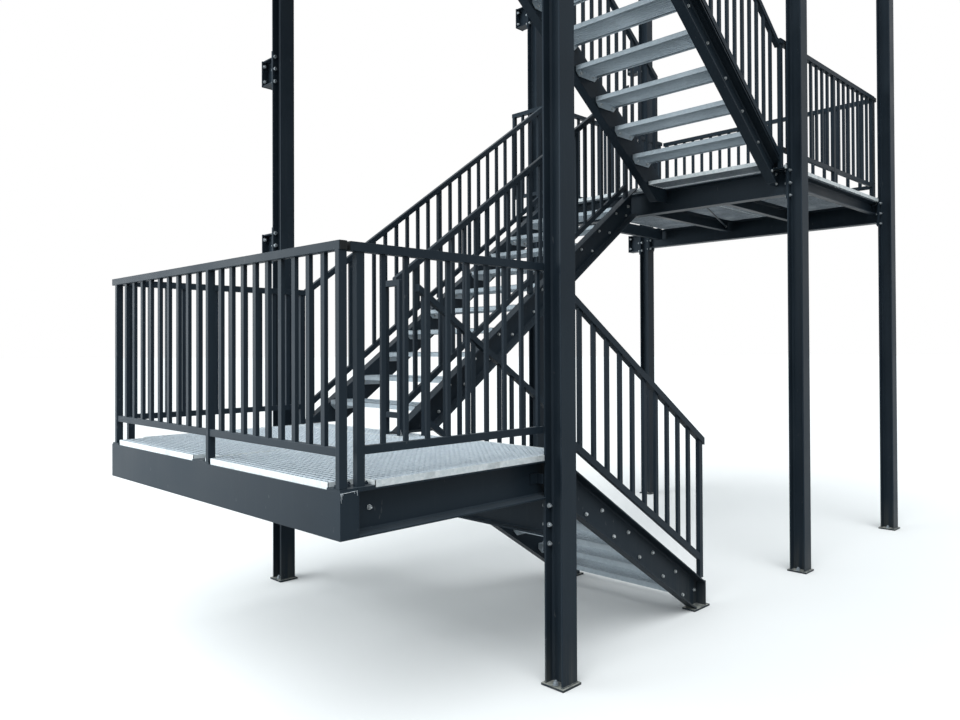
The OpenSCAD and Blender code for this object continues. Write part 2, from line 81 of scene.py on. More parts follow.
class Wiring:
    """Short ways to add nodes to a node tree and to join them."""

    def __init__(self, tree):
        self.tree = tree

    def new(self, kind, **values):
        """A new node; values are set on its inputs of that name, or else on the node itself."""
        made = self.tree.nodes.new(kind)
        for key, value in values.items():
            if key in made.inputs:
                made.inputs[key].default_value = value
            else:
                setattr(made, key, value)
        return made

    def link(self, source, target):
        self.tree.links.new(source, target)

    def math(self, operation, a, b):
        """The result of a math operation on two sockets."""
        node = self.new("ShaderNodeMath", operation=operation)
        self.link(a, node.inputs[0])
        self.link(b, node.inputs[1])
        return node.outputs[0]

    def seen(self):
        """1 for the camera's rays and for mirrored and refracted ones, 0 for light that bounces."""
        path = self.new("ShaderNodeLightPath")
        mirrored = self.math("MAXIMUM", path.outputs["Is Glossy Ray"], path.outputs["Is Transmission Ray"])
        return self.math("MAXIMUM", path.outputs["Is Camera Ray"], mirrored)


class Finish(Wiring):
    """A new material and its Principled shader."""

    def __init__(self, name):
        self.material = bpy.data.materials.new(name)
        self.material.use_nodes = True
        super().__init__(self.material.node_tree)
        self.shader = self.tree.nodes["Principled BSDF"]

    def coords(self):
        return self.new("ShaderNodeTexCoord").outputs["Object"]

    def noise(self, coords, scale, detail, stretch=(1, 1, 1)):
        mapping = self.new("ShaderNodeMapping", Scale=stretch)
        self.link(coords, mapping.inputs["Vector"])
        noise = self.new("ShaderNodeTexNoise", Scale=scale, Detail=detail)
        self.link(mapping.outputs["Vector"], noise.inputs["Vector"])
        return noise.outputs["Fac"]

    def part(self, vector, axis):
        """One component of a vector, "X", "Y" or "Z"."""
        split = self.new("ShaderNodeSeparateXYZ")
        self.link(vector, split.inputs[0])
        return split.outputs[axis]

    def ranged(self, value, low, high, out_low=0.0, out_high=1.0):
        """value taken from low..high to out_low..out_high, held at the ends."""
        node = self.new("ShaderNodeMapRange")
        node.inputs["From Min"].default_value = low
        node.inputs["From Max"].default_value = high
        node.inputs["To Min"].default_value = out_low
        node.inputs["To Max"].default_value = out_high
        self.link(value, node.inputs["Value"])
        return node.outputs["Result"]

    def times(self, a, b):
        return self.math("MULTIPLY", a, b)

    def mixed(self, factor, a, b):
        """Colour a where factor is 0, b where it is 1; each is a colour or a socket."""
        node = self.new("ShaderNodeMix", data_type="RGBA")
        self.link(factor, node.inputs[0])
        for socket, value in ((node.inputs[6], a), (node.inputs[7], b)):
            if isinstance(value, tuple):
                socket.default_value = value
            else:
                self.link(value, socket)
        return node.outputs[2]

    def drive(self, name, source):
        self.link(source, self.shader.inputs[name])

    def bump(self, height, strength, distance):
        bump = self.new("ShaderNodeBump", Strength=strength, Distance=distance)
        self.link(height, bump.inputs["Height"])
        self.drive("Normal", bump.outputs["Normal"])


PAINT_DARK, PAINT_PALE = (0.0160, 0.0254, 0.0356, 1), (0.0232, 0.0344, 0.0461, 1)
STREAK_COLOUR = (0.036, 0.047, 0.057, 1)
DUST_COLOUR = (0.080, 0.094, 0.105, 1)
SPLASH_COLOUR = (0.070, 0.074, 0.072, 1)
CAKED_COLOUR = (0.300, 0.305, 0.275, 1)
SPECK_COLOUR = (0.11, 0.12, 0.13, 1)
PAINT_SPECULAR = 0.08


def anthracite_paint():
    """Anthracite topcoat: mottled, streaked down the faces, dusty on top and dirty at the feet."""
    paint = Finish("anthracite_paint")
    coords = paint.coords()
    mottle = paint.noise(coords, 2.2, 6.0)
    streak = paint.noise(coords, 1.0, 4.0, (30, 30, 1.2))
    fine = paint.noise(coords, 90.0, 3.0)
    base = paint.mixed(paint.ranged(mottle, 0.32, 0.68), PAINT_DARK, PAINT_PALE)
    base = paint.mixed(paint.ranged(streak, 0.56, 0.80, 0.0, 0.30), base, STREAK_COLOUR)
    # dust on what looks up
    normal = paint.new("ShaderNodeNewGeometry").outputs["Normal"]
    upward = paint.ranged(paint.part(normal, "Z"), 0.55, 0.95)
    dust = paint.times(upward, paint.ranged(mottle, 0.25, 0.75, 0.15, 0.55))
    base = paint.mixed(dust, base, DUST_COLOUR)
    # splashed dirt low on the feet, and caked dirt on top of the base plates
    height = paint.part(coords, "Z")
    low = paint.ranged(height, 0.02, 0.30, 1.0, 0.0)
    splash = paint.times(low, paint.ranged(streak, 0.40, 0.66, 0.05, 0.7))
    base = paint.mixed(splash, base, SPLASH_COLOUR)
    cakes = paint.ranged(paint.noise(coords, 26.0, 6.0), 0.40, 0.58, 0.25, 0.95)
    caked = paint.times(paint.ranged(height, 0.012, 0.045, 1.0, 0.0), cakes)
    base = paint.mixed(paint.times(caked, upward), base, CAKED_COLOUR)
    # pale specks and scuffs
    specks = paint.ranged(paint.noise(coords, 38.0, 5.0, (1, 1, 0.4)), 0.70, 0.74, 0.0, 0.35)
    base = paint.mixed(specks, base, SPECK_COLOUR)
    paint.drive("Base Color", base)
    paint.drive("Roughness", paint.ranged(mottle, 0.3, 0.7, 0.36, 0.52))
    paint.shader.inputs["Specular IOR Level"].default_value = PAINT_SPECULAR
    paint.bump(fine, 0.06, 0.002)
    return paint.material


BLOOM_COLOUR = (0.72, 0.79, 0.84, 1)
GRIME_COLOUR = (0.16, 0.17, 0.16, 1)


def zinc(name, dark, pale, metallic, roughness, grime):
    """Hot-dip zinc: spangle cells between dark and pale, whitish bloom, and dirt up to grime."""
    coat = Finish(name)
    coords = coat.coords()
    cells = coat.new("ShaderNodeTexVoronoi", Scale=55.0)
    coat.link(coords, cells.inputs["Vector"])
    base = coat.mixed(coat.part(cells.outputs["Color"], "X"), dark + (1,), pale + (1,))
    bloom = coat.noise(coords, 3.2, 7.0)
    base = coat.mixed(coat.ranged(bloom, 0.50, 0.72, 0.0, 0.30), base, BLOOM_COLOUR)
    dirt = coat.noise(coords, 9.0, 6.0)
    base = coat.mixed(coat.ranged(dirt, 0.58, 0.76, 0.0, grime), base, GRIME_COLOUR)
    coat.drive("Base Color", base)
    coat.shader.inputs["Metallic"].default_value = metallic
    coat.drive("Roughness", coat.ranged(bloom, 0.3, 0.7, roughness - 0.08, roughness + 0.10))
    coat.bump(dirt, 0.10, 0.001)
    return coat.material


def black_plastic():
    """Plastic of the caps on the rails' ends."""
    plastic = Finish("black_plastic")
    grain = plastic.noise(plastic.coords(), 220.0, 2.0)
    base = plastic.mixed(grain, (0.008, 0.009, 0.010, 1), (0.022, 0.024, 0.026, 1))
    plastic.drive("Base Color", base)
    plastic.shader.inputs["Roughness"].default_value = 0.55
    plastic.shader.inputs["Specular IOR Level"].default_value = 0.12
    plastic.bump(grain, 0.15, 0.0005)
    return plastic.material


PAINT = anthracite_paint()
GRATING_ZINC = zinc("grating_zinc", (0.61, 0.68, 0.74), (0.71, 0.78, 0.83), 0.10, 0.50, 0.12)
# Darker zinc: painted shade on the lower sides of the gratings' bearing bars, and dusty zinc on the anchor
# nuts
DUSTY_AND_SHADED_ZINC = zinc("dusty_and_shaded_zinc", (0.17, 0.20, 0.22), (0.24, 0.27, 0.30), 0.10, 0.60, 0.20)
# Band zinc: the grating's zinc made paler as painted light on the edge bands, with more dirt on them
LIT_BAND_ZINC = zinc("lit_band_zinc", (0.68, 0.74, 0.76), (0.84, 0.88, 0.89), 0.10, 0.46, 0.45)
BARE_WELD = zinc("bare_weld", (0.50, 0.55, 0.60), (0.78, 0.82, 0.85), 0.30, 0.42, 0.30)
# Tread zinc: the grating's zinc made darker as painted shade from the structure above
SHADED_TREAD_ZINC = zinc("shaded_tread_zinc", (0.42, 0.49, 0.54), (0.48, 0.55, 0.60), 0.15, 0.48, 0.15)
BOLT_ZINC = zinc("bolt_zinc", (0.36, 0.39, 0.40), (0.54, 0.57, 0.58), 0.45, 0.40, 0.45)
STUD_ZINC = zinc("stud_zinc", (0.20, 0.23, 0.25), (0.34, 0.37, 0.39), 0.45, 0.42, 0.45)
CAP = black_plastic()

# Rounded arrises in metres: cold-formed tubes, rolled sections, small plates
TUBE_ARRIS, STEEL_ARRIS, PLATE_ARRIS = 0.003, 0.0015, 0.001
# Points closer than this are joined first, and edges sharper than this angle are rounded
JOIN_DISTANCE, SHARP_ANGLE = 0.00002, 0.6


def soften(target, width):
    """Rounded arrises on flat steel, as rolled and drawn sections have."""
    weld = target.modifiers.new("join_seams", "WELD")
    weld.merge_threshold = JOIN_DISTANCE
    bevel = target.modifiers.new("soft_edges", "BEVEL")
    bevel.width = width
    bevel.segments = 2
    bevel.limit_method = "ANGLE"
    bevel.angle_limit = SHARP_ANGLE
    bevel.harden_normals = False


def dress_nodes():
    """Paint on every CAD node, and rounded arrises on those that stay in view."""
    for name, node in NODES.items():
        node.data.materials.clear()
        node.data.materials.append(PAINT)
        if name.endswith(("_gratings", "_treads")):
            continue
        tubular = "railing" in name or "guard" in name or "fascia" in name
        soften(node, TUBE_ARRIS if tubular else STEEL_ARRIS)


dress_nodes()


# Shapes

# Faces of a box whose corners run along X first, then Y, then Z
BOX_FACES = [(0, 2, 3, 1), (4, 5, 7, 6), (0, 1, 5, 4), (2, 6, 7, 3), (0, 4, 6, 2), (1, 3, 7, 5)]
# The same without its top, and the box that stands on it
LOW_FACES = [face for face in BOX_FACES if face != (4, 5, 7, 6)]
HIGH_FACES = [(8, 9, 11, 10), (4, 5, 9, 8), (6, 10, 11, 7), (4, 8, 10, 6), (5, 7, 11, 9)]
# Materials of a piece with several of them, by index: the main coat, the bands' paler coat of painted light,
# and the flanks' darker coat of painted shade
MAIN_COAT, LIT_BAND_COAT, SHADED_FLANK_COAT = 0, 1, 2
# Length of a weld's ripple, and sides of its bead
RIPPLE, BEAD_SIDES = 7.0, 6


def box_corners(xs, ys, zs):
    return [(x, y, z) for z in zs for y in ys for x in xs]


class Shape:
    """Gathers plates, bars and bolts, and becomes one piece."""

    def __init__(self):
        self.verts, self.faces, self.finish = [], [], []
        self.coat = MAIN_COAT

    def add(self, verts, faces):
        start = len(self.verts)
        self.verts.extend(tuple(v) for v in verts)
        self.faces.extend(tuple(start + i for i in face) for face in faces)
        self.finish.extend([self.coat] * len(faces))

    def box(self, x0, x1, y0, y1, z0, z1):
        self.add(box_corners((x0, x1), (y0, y1), (z0, z1)), BOX_FACES)

    def bar(self, x0, x1, y0, y1, z0, z1, pale):
        """Upright flat bar: the main coat on its upper edge, pale deep, and below it a darker coat of painted
        shade.
        """
        self.add(box_corners((x0, x1), (y0, y1), (z0, z1 - pale, z1)), LOW_FACES + HIGH_FACES)
        coats = [SHADED_FLANK_COAT] * len(LOW_FACES) + [MAIN_COAT] * len(HIGH_FACES)
        self.finish[-len(coats):] = coats

    def plate(self, outline, y0, y1):
        """Upright plate from y0 to y1; outline holds its (x, z) corners, either way round."""
        n = len(outline)
        area = sum(a[0] * b[1] - b[0] * a[1] for a, b in zip(outline, outline[1:] + outline[:1]))
        verts = [(x, y, z) for y in (y0, y1) for x, z in outline]
        faces = [tuple(range(n))[::-1], tuple(range(n, 2 * n))]
        faces += [(i, (i + 1) % n, n + (i + 1) % n, n + i) for i in range(n)]
        self.add(verts, [f[::-1] for f in faces] if area > 0 else faces)

    def rings(self, rings):
        """A closed skin over rings of equally many points, with flat ends."""
        sides, last = len(rings[0]), (len(rings) - 1) * len(rings[0])
        faces = [tuple(range(sides))[::-1]]
        for a in range(0, last, sides):
            for k in range(sides):
                after = (k + 1) % sides
                faces.append((a + k, a + after, a + sides + after, a + sides + k))
        faces.append(tuple(range(last, last + sides)))
        self.add([point for ring in rings for point in ring], faces)

    def turned(self, profile, at, axis, sides=12, turn=0.0):
        """A turned form: profile is [(radius, height)], swept round axis from the point at."""
        z = Vector(axis).normalized()
        x = z.orthogonal().normalized()
        y = z.cross(x)
        angles = [turn + 2 * pi * k / sides for k in range(sides)]
        self.rings([
            [Vector(at) + x * radius * cos(a) + y * radius * sin(a) + z * height for a in angles]
            for radius, height in profile
        ])

    def bolt(self, at, axis, d=12.0, stud=False):
        """Washer and hexagon head seated at a point of the steel, each head turned its own way.

        d is the thread, and the profiles are mostly in shares of it. With stud it is a nut, and the
        thread's end stands out of it.
        """
        turn = 0.37 * (at[0] * 0.013 + at[1] * 0.021 + at[2] * 0.017)
        washer = [(d, -0.4), (d, 2.0), (d * 0.94, 2.5)]
        head = [(d * 0.85, 2.4), (d * 0.88, 3.2), (d * 0.88, d * 0.75), (d * 0.76, d * 0.9)]
        self.turned(washer, at, axis, 20)
        self.turned(head, at, axis, 6, turn)
        if stud:
            self.turned([(d * 0.5, 2.4), (d * 0.5, d * 1.35), (d * 0.4, d * 1.45)], at, axis, 12)

    def weld(self, start, end, radius=3.0):
        """A fillet bead with its ripples, laid from start to end."""
        a, b = Vector(start), Vector(end)
        steps = max(3, int((b - a).length / RIPPLE))
        way = (b - a).normalized()
        x = way.orthogonal().normalized()
        y = way.cross(x)
        angles = [2 * pi * k / BEAD_SIDES for k in range(BEAD_SIDES)]
        rings = []
        for i in range(steps + 1):
            # two waves make the bead uneven
            size = radius * (0.85 + 0.2 * sin(i * 2.4) + 0.12 * sin(i * 5.1 + a.x))
            centre = a + (b - a) * (i / steps)
            rings.append([centre + (x * cos(angle) + y * sin(angle)) * size for angle in angles])
        self.rings(rings)

    def piece(self, name, slot, material, nodes=(), soft=0.0, smooth=False, others=()):
        """Makes the piece, which rides on the root and replaces nodes.

        material is the main coat's, others are those of the further coats.
        """
        points = np.array([tuple(v) for v in self.verts], float) * MM + np.array(OFFSET)
        mesh = bpy.data.meshes.new(name)
        mesh.from_pydata([tuple(p) for p in points], [], self.faces)
        mesh.materials.append(material)
        if others:
            for other in others:
                mesh.materials.append(other)
            mesh.polygons.foreach_set("material_index", self.finish)
        mesh.validate()
        if smooth:
            mesh.shade_smooth()
        mesh.update()
        made = bpy.data.objects.new(name, mesh)
        bpy.context.scene.collection.objects.link(made)
        if soft:
            soften(made, soft)
        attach(made, "root")
        if nodes:
            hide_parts(*nodes)


STEEL, ZINC = "anthracite_steel", "galvanised_grating"

# The CAD's own sizes

# Lower landing: fascia box, near and wall side, far edge of the gratings, face of the near beam's web
FASCIA_X, FASCIA_W = -1352.0, 92.0
LANDING_Y0, LANDING_Y1 = 43.0, 2510.0
EDGE_X, BEAM_WEB_Y = 156.0, 109.5
BEAM_H = 200
# Lines of the columns
BAY_X, FAR_X, WALL_LINE_Y = 2968.0, 5013.0, 2732.0
# Ends of the treads of flights 1 and 3, and of flight 2; the back of a stringer's web stands a little off
NEAR_Y, INNER_1, INNER_2, WALL_WEB = 172.0, 1172.0, 1490.0, 2490.0
# Walking levels, and how far the treads of flights 1 and 2 lie under the even division
LOWER, UPPER, TOP = 1200.0, 3205.0, 5273.0
SINK = 13.0
# Flight 1 is set out downwards from the landing's edge, a little higher; its lowest tread sits back
RISE_LOW, GOING_LOW, NOSE_LOW = 173.5, 268.0, 106.0
TREADS_1, LAST_BACK, LIFT_1 = 6, 28, 10
# Flights 2 and 3 are set out upwards from their lowest tread; the first rise of flight 3 is its own
TREADS_HIGH = 10
RISE_MID, GOING_MID, NOSE_MID = (UPPER - LOWER) / (TREADS_HIGH + 1), 253.5, 266.0
FIRST_TOP, GOING_TOP, NOSE_TOP = 196.0, 256.3, 2686.0
RISE_TOP = (TOP - UPPER - FIRST_TOP) / TREADS_HIGH
TREAD_LENGTH, TREAD_DEPTH = 1000.0, 270.0
CARRIER_H, CARRIER_CUT, CARRIER_FRONT = 75.0, 35.0, 40.0
STRINGER_WEB, STANDOFF = 8.5, 0.5
# Nosing and top of each tread
FLIGHT_1 = [
    (NOSE_LOW + k * GOING_LOW - (LAST_BACK if k == TREADS_1 else 0), LOWER - SINK + LIFT_1 - k * RISE_LOW)
    for k in range(1, TREADS_1 + 1)
]
FLIGHT_2 = [
    (NOSE_MID + (k - 1) * GOING_MID, LOWER + k * RISE_MID - SINK)
    for k in range(1, TREADS_HIGH + 1)
]
FLIGHT_3 = [
    (NOSE_TOP - (k - 1) * GOING_TOP, UPPER + FIRST_TOP + (k - 1) * RISE_TOP)
    for k in range(1, TREADS_HIGH + 1)
]

# Gratings. Fields and holes are (x0, x1, y0, y1).

BAR_PITCH, CROSS_PITCH, GRATING_DEPTH = 34.3, 38.1, 30.0
BAR_HALF, CROSS_HALF, BAND = 1.5, 1.2, 3.0
# Lower and upper side of the cross bars, under the grating's top
CROSS_BOTTOM, CROSS_TOP = 11, 1.5
# Depth of a bearing bar's top kept out of the painted shade on its lower sides, how far the band stands above
# the bars, and half the gap at a joint
UNSHADED_TOP_DEPTH, BAND_PROUD, HALF_GAP = 9.0, 0.3, 1


def cells_of(field, holes):
    """Grid lines of a field and its holes, and which cells of that grid are covered."""
    xs = sorted({v for r in [field] + holes for v in r[:2]})
    ys = sorted({v for r in [field] + holes for v in r[2:]})

    def inside(x, y, rect):
        return rect[0] < x < rect[1] and rect[2] < y < rect[3]

    def covered(x, y):
        return inside(x, y, field) and not any(inside(x, y, hole) for hole in holes)

    full = [[covered((a + b) / 2, (c + d) / 2) for c, d in zip(ys, ys[1:])] for a, b in zip(xs, xs[1:])]
    return xs, ys, full


def runs(lines, flags):
    """Joined intervals of the grid line where the flags are set."""
    out = []
    for a, b, on in zip(lines, lines[1:], flags):
        if on and out and out[-1][1] == a:
            out[-1][1] = b
        elif on:
            out.append([a, b])
    return out


def spaced(start, end, pitch):
    """Places between start and end, equally far apart and about a pitch from each other."""
    count = int((end - start) / pitch)
    return [start + (end - start) * k / (count + 1) for k in range(1, count + 1)]


def cell_at(lines, place):
    """Number of the last cell that begins at or before a place."""
    return max(i for i in range(len(lines) - 1) if lines[i] <= place)


def grating(shape, field, holes, top):
    """Pressed grating: bearing bars along Y, cross bars along X near the top, and a band round every edge;
    painted shade on the bearing bars' lower sides and painted light on the bands.
    """
    xs, ys, full = cells_of(field, holes)
    bottom = top - GRATING_DEPTH
    for x in spaced(field[0], field[1], BAR_PITCH):
        for a, b in runs(ys, full[cell_at(xs, x)]):
            # bearing bars: painted shade on their sides below the top
            shape.bar(x - BAR_HALF, x + BAR_HALF, a + BAND, b - BAND, bottom, top, UNSHADED_TOP_DEPTH)
    for y in spaced(field[2], field[3], CROSS_PITCH):
        row = cell_at(ys, y)
        for a, b in runs(xs, [column[row] for column in full]):
            shape.box(a + BAND, b - BAND, y - CROSS_HALF, y + CROSS_HALF, top - CROSS_BOTTOM, top - CROSS_TOP)
    # edge bands in the paler coat: painted light
    shape.coat = LIT_BAND_COAT
    for i, (x0, x1) in enumerate(zip(xs, xs[1:])):
        for j, (y0, y1) in enumerate(zip(ys, ys[1:])):
            if not full[i][j]:
                continue
            if i == 0 or not full[i - 1][j]:
                shape.box(x0, x0 + BAND, y0, y1, bottom, top + BAND_PROUD)
            if i == len(xs) - 2 or not full[i + 1][j]:
                shape.box(x1 - BAND, x1, y0, y1, bottom, top + BAND_PROUD)
            if j == 0 or not full[i][j - 1]:
                shape.box(x0, x1, y0, y0 + BAND, bottom, top + BAND_PROUD)
            if j == len(ys) - 2 or not full[i][j + 1]:
                shape.box(x0, x1, y1 - BAND, y1, bottom, top + BAND_PROUD)
    shape.coat = MAIN_COAT


def grating_fields(shape, x0, x1, y0, y1, joints, holes, top):
    """A strip of grating from x0 to x1, parted at the joints."""
    starts = [x0] + [joint + HALF_GAP for joint in joints]
    ends = [joint - HALF_GAP for joint in joints] + [x1]
    for start, end in zip(starts, ends):
        grating(shape, (start, end, y0, y1), holes, top)


def lattice(shape, node):
    shape.piece(node + "_lattice", ZINC, GRATING_ZINC, [node], others=(LIT_BAND_ZINC, DUSTY_AND_SHADED_ZINC))


# Lower and top landing: both fields across the stair, and the joint in the one next to the wall
FIELD_X, OUTER = FASCIA_X + 8, FASCIA_X - 1
NEAR_FIELD, WALL_FIELD, WALL_JOINT = (LANDING_Y0 + 2, 1257.0), (1262.0, 2474.0), -50.0
# Notches round the corner post, column A and the middle post of the near field, then round the middle post
# and the corner post of the wall field, the guard's posts and the top end railing's
NEAR_NOTCHES = [
    (OUTER, -1172.0, LANDING_Y0 - 1, 142.0),
    (-70.0, 70.0, LANDING_Y0 - 1, 70.0),
    (OUTER, -1307.0, 1201.0, 1239.0)
]
WALL_NOTCHES = [(OUTER, -1260.0, 1261.0, 1391.0), (OUTER, -1172.0, 2411.0, 2475.0)]
GUARD_NOTCHES = [(-21.0, 61.0, 1299.0, 1331.0), (-21.0, 61.0, 1451.0, 1483.0)]
TOP_NOTCHES = [(39.0, 121.0, 1299.0, 1341.0), (39.0, 121.0, 2419.0, 2461.0)]
# Upper landing: both fields and the strip at the foot of flight 3, far edge and joint
UPPER_X1, UPPER_JOINT = FAR_X + 45, 3970.0
UPPER_NEAR_X, UPPER_NEAR = 2890.0, (50.0, 1240.0)
UPPER_WALL_X, UPPER_WALL = BAY_X - 130, (1244.0, 2453.0)
FOOT_STRIP = (NOSE_TOP - 40, 2886.0, NEAR_Y + 4, INNER_1 - 4)
# Notches round the columns and the railing posts
END_POST_X = 4974.0
COLUMN_NOTCHES = [(x - 70, x + 70, 0.0, 70.0) for x in (BAY_X, FAR_X)]
POST_NOTCHES = [(x - 25, x + 25, 70.0, 161.0) for x in (2886.0, 3960.0, 4910.0)]
NEAR_END_NOTCH = [(END_POST_X, UPPER_X1 + 1, 94.0, 136.0)]
WALL_END_NOTCHES = [(END_POST_X, UPPER_X1 + 1, y - 21, y + 21) for y in (1290.0, 2430.0)]


def landing_gratings(node, level, post_notches):
    """Gratings of the lower or top landing, cut out round columns and railing posts."""
    shape = Shape()
    wall_notches = WALL_NOTCHES + post_notches
    grating_fields(shape, FIELD_X, EDGE_X, *NEAR_FIELD, [], NEAR_NOTCHES, level)
    grating_fields(shape, FIELD_X, EDGE_X, *WALL_FIELD, [WALL_JOINT], wall_notches, level)
    lattice(shape, node)


def upper_gratings():
    """Gratings of the upper landing, with the narrow strip at the foot of flight 3."""
    shape = Shape()
    notches = COLUMN_NOTCHES + POST_NOTCHES + NEAR_END_NOTCH
    grating_fields(shape, UPPER_NEAR_X, UPPER_X1, *UPPER_NEAR, [UPPER_JOINT], notches, UPPER)
    grating_fields(shape, *FOOT_STRIP, [], [], UPPER)
    grating_fields(shape, UPPER_WALL_X, UPPER_X1, *UPPER_WALL, [UPPER_JOINT], WALL_END_NOTCHES, UPPER)
    lattice(shape, "upper_gratings")


landing_gratings("lower_gratings", LOWER, GUARD_NOTCHES)
landing_gratings("top_gratings", TOP, TOP_NOTCHES)
upper_gratings()

# Treads

CARRIER_T = 5
NOSING_W, NOSING_H, STRIP_T, BACK_T = 30, 35, 3, 4
# Under the tread's top: both ends of the nosing's inner leg, the bearing bars, the cross bars' lower side
LEG_LOW, LEG_HIGH, BEARER_DROP, CROSS_LOW = 30, 2, 0.5, 8
BEARER_SPACES, CROSS_SPACES, CROSS_BAR_HALF = 8, 60, 1.1
# Rows of studs: distance behind the nosing, and shift along the tread
STUD_ROWS = ((9.0, 0), (20.0, 8))
STUD_SPACES, STUD_MARGIN, STUD_SEAT = 23, 25, 0.1
STUD = [(4.5, 0.0), (3.4, 1.6)]
BOLTS_BEHIND, BOLT_DROP = (60.0, 210.0), 50


def tread(shape, nose, face, y0, top):
    """Grating tread on cut-corner carrier plates. face is +1 where its nosing looks to +X."""
    back = nose - face * TREAD_DEPTH
    y1 = y0 + TREAD_LENGTH
    start, end = y0 + CARRIER_T, y1 - CARRIER_T

    def across(a, b, ya, yb, za, zb):
        shape.box(min(a, b), max(a, b), ya, yb, za, zb)

    outline = [
        (nose, top), (back, top), (back, top - CARRIER_FRONT),
        (back + face * CARRIER_CUT, top - CARRIER_H), (nose - face * CARRIER_CUT, top - CARRIER_H),
        (nose, top - CARRIER_FRONT)
    ]
    for y in (y0 + STANDOFF, y1 - CARRIER_T - STANDOFF):
        shape.plate(outline, y, y + CARRIER_T)
    # nosing: folded strip with two rows of raised studs, and the plain band at the back
    inner = nose - face * NOSING_W
    across(nose, nose - face * STRIP_T, start, end, top - NOSING_H, top)
    across(nose, inner, start, end, top - STRIP_T, top)
    across(inner + face * STRIP_T, inner, start, end, top - LEG_LOW, top - LEG_HIGH)
    for behind, shift in STUD_ROWS:
        for k in range(STUD_SPACES + 1):
            y = y0 + STUD_MARGIN + k * (TREAD_LENGTH - 2 * STUD_MARGIN) / STUD_SPACES + shift
            shape.turned(STUD, (nose - face * behind, y, top - STUD_SEAT), (0, 0, 1), 8)
    across(back, back + face * BACK_T, start, end, top - NOSING_H, top)
    # bearing bars from carrier to carrier and cross bars between nosing and band
    for k in range(1, BEARER_SPACES):
        x = inner + (back - inner) * k / BEARER_SPACES
        shape.box(x - BAR_HALF, x + BAR_HALF, start, end, top - GRATING_DEPTH, top - BEARER_DROP)
    for k in range(1, CROSS_SPACES):
        y = start + (end - start) * k / CROSS_SPACES
        across(inner, back, y - CROSS_BAR_HALF, y + CROSS_BAR_HALF, top - CROSS_LOW, top - CROSS_TOP)


def tread_bolts(name, places, face, y0):
    """Two bolts at each end of a tread: heads on the channels' webs, nuts on the carrier plates."""
    shape = Shape()
    y1 = y0 + TREAD_LENGTH
    off, inside = STANDOFF + STRINGER_WEB, STANDOFF + CARRIER_T
    for nose, top in places:
        for behind in BOLTS_BEHIND:
            x, z = nose - face * behind, top - BOLT_DROP
            shape.bolt((x, y0 - off, z), (0, -1, 0))
            shape.bolt((x, y1 + off, z), (0, 1, 0))
            shape.bolt((x, y0 + inside, z), (0, 1, 0), stud=True)
            shape.bolt((x, y1 - inside, z), (0, -1, 0), stud=True)
    shape.piece(name, ZINC, BOLT_ZINC)


def treads(flight, places, face, y0):
    node = flight + "_treads"
    shape = Shape()
    for nose, top in places:
        tread(shape, nose, face, y0, top)
    # treads in the darker zinc of painted shade
    shape.piece(node + "_lattice", ZINC, SHADED_TREAD_ZINC, [node])


FLIGHTS = (
    ("flight1", FLIGHT_1, 1, NEAR_Y),
    ("flight2", FLIGHT_2, -1, INNER_2),
    ("flight3", FLIGHT_3, 1, NEAR_Y)
)
for flight, places, face, y0 in FLIGHTS:
    treads(flight, places, face, y0)
for flight, places, face, y0 in FLIGHTS:
    tread_bolts(flight + "_tread_bolts", places, face, y0)

# Railings

# The CAD's slim pickets, in millimetres and in the tenths in which edges are filed
SLIM, SLIM_TENTHS = 16.0, 160
# Sections of the real pickets: along the panel, and across it
PICKET, NARROW_PICKET = (30.0, 20.0), (22.0, 17.0)
NARROW = ("lower_near_railing", "top_near_railing")
# How far a picket reaches into the rails
PICKET_INTO_RAIL = 2
# An edge is upright within this lean, and long from this height on
LEAN, LONG = 0.05, 200


def upright_edges(node):
    """The long upright edges of a node, as plan place in tenths of a millimetre: (lowest, highest point)."""
    mesh, found = node.data, {}
    points = [(v.co - OFFSET) / MM for v in mesh.vertices]
    for edge in mesh.edges:
        a, b = points[edge.vertices[0]], points[edge.vertices[1]]
        if abs(a.x - b.x) < LEAN and abs(a.y - b.y) < LEAN and abs(a.z - b.z) > LONG:
            key = (round(a.x * 10), round(a.y * 10))
            low, high = found.get(key, (a.z, a.z))
            found[key] = (min(low, a.z, b.z), max(high, a.z, b.z))
    return found


def near_edge(edges, x, y):
    """The edge at a plan place, found within a tenth of a millimetre."""
    for dx in (0, -1, 1):
        for dy in (0, -1, 1):
            if (x + dx, y + dy) in edges:
                return edges[x + dx, y + dy]
    return None


def spread(edges, axis):
    places = [key[axis] for key in edges]
    return max(places) - min(places)


def broad_pickets(name, width, thick):
    """Box-section pickets, wider along the panel, round the slim bars of a railing node."""
    edges = upright_edges(NODES[name])
    along_x = spread(edges, 0) > spread(edges, 1)
    half_x, half_y = (width / 2, thick / 2) if along_x else (thick / 2, width / 2)
    middle = SLIM / 2
    shape = Shape()
    for (x, y), corner in edges.items():
        beside, behind = near_edge(edges, x + SLIM_TENTHS, y), near_edge(edges, x, y + SLIM_TENTHS)
        if not (beside and behind and near_edge(edges, x + SLIM_TENTHS, y + SLIM_TENTHS)):
            continue
        centre_x, centre_y = x / 10 + middle, y / 10 + middle
        verts = []
        for i, more in ((0, -PICKET_INTO_RAIL), (1, PICKET_INTO_RAIL)):
            slope_x, slope_y = (beside[i] - corner[i]) / SLIM, (behind[i] - corner[i]) / SLIM
            for dy in (-half_y, half_y):
                for dx in (-half_x, half_x):
                    z = corner[i] + slope_x * (dx + middle) + slope_y * (dy + middle) + more
                    verts.append((centre_x + dx, centre_y + dy, z))
        shape.add(verts, BOX_FACES)
    shape.piece(name + "_pickets", STEEL, PAINT, soft=STEEL_ARRIS)


for name in NODES:
    if "railing" in name:
        broad_pickets(name, *(NARROW_PICKET if name in NARROW else PICKET))

# Bolts of columns, ties and base plates

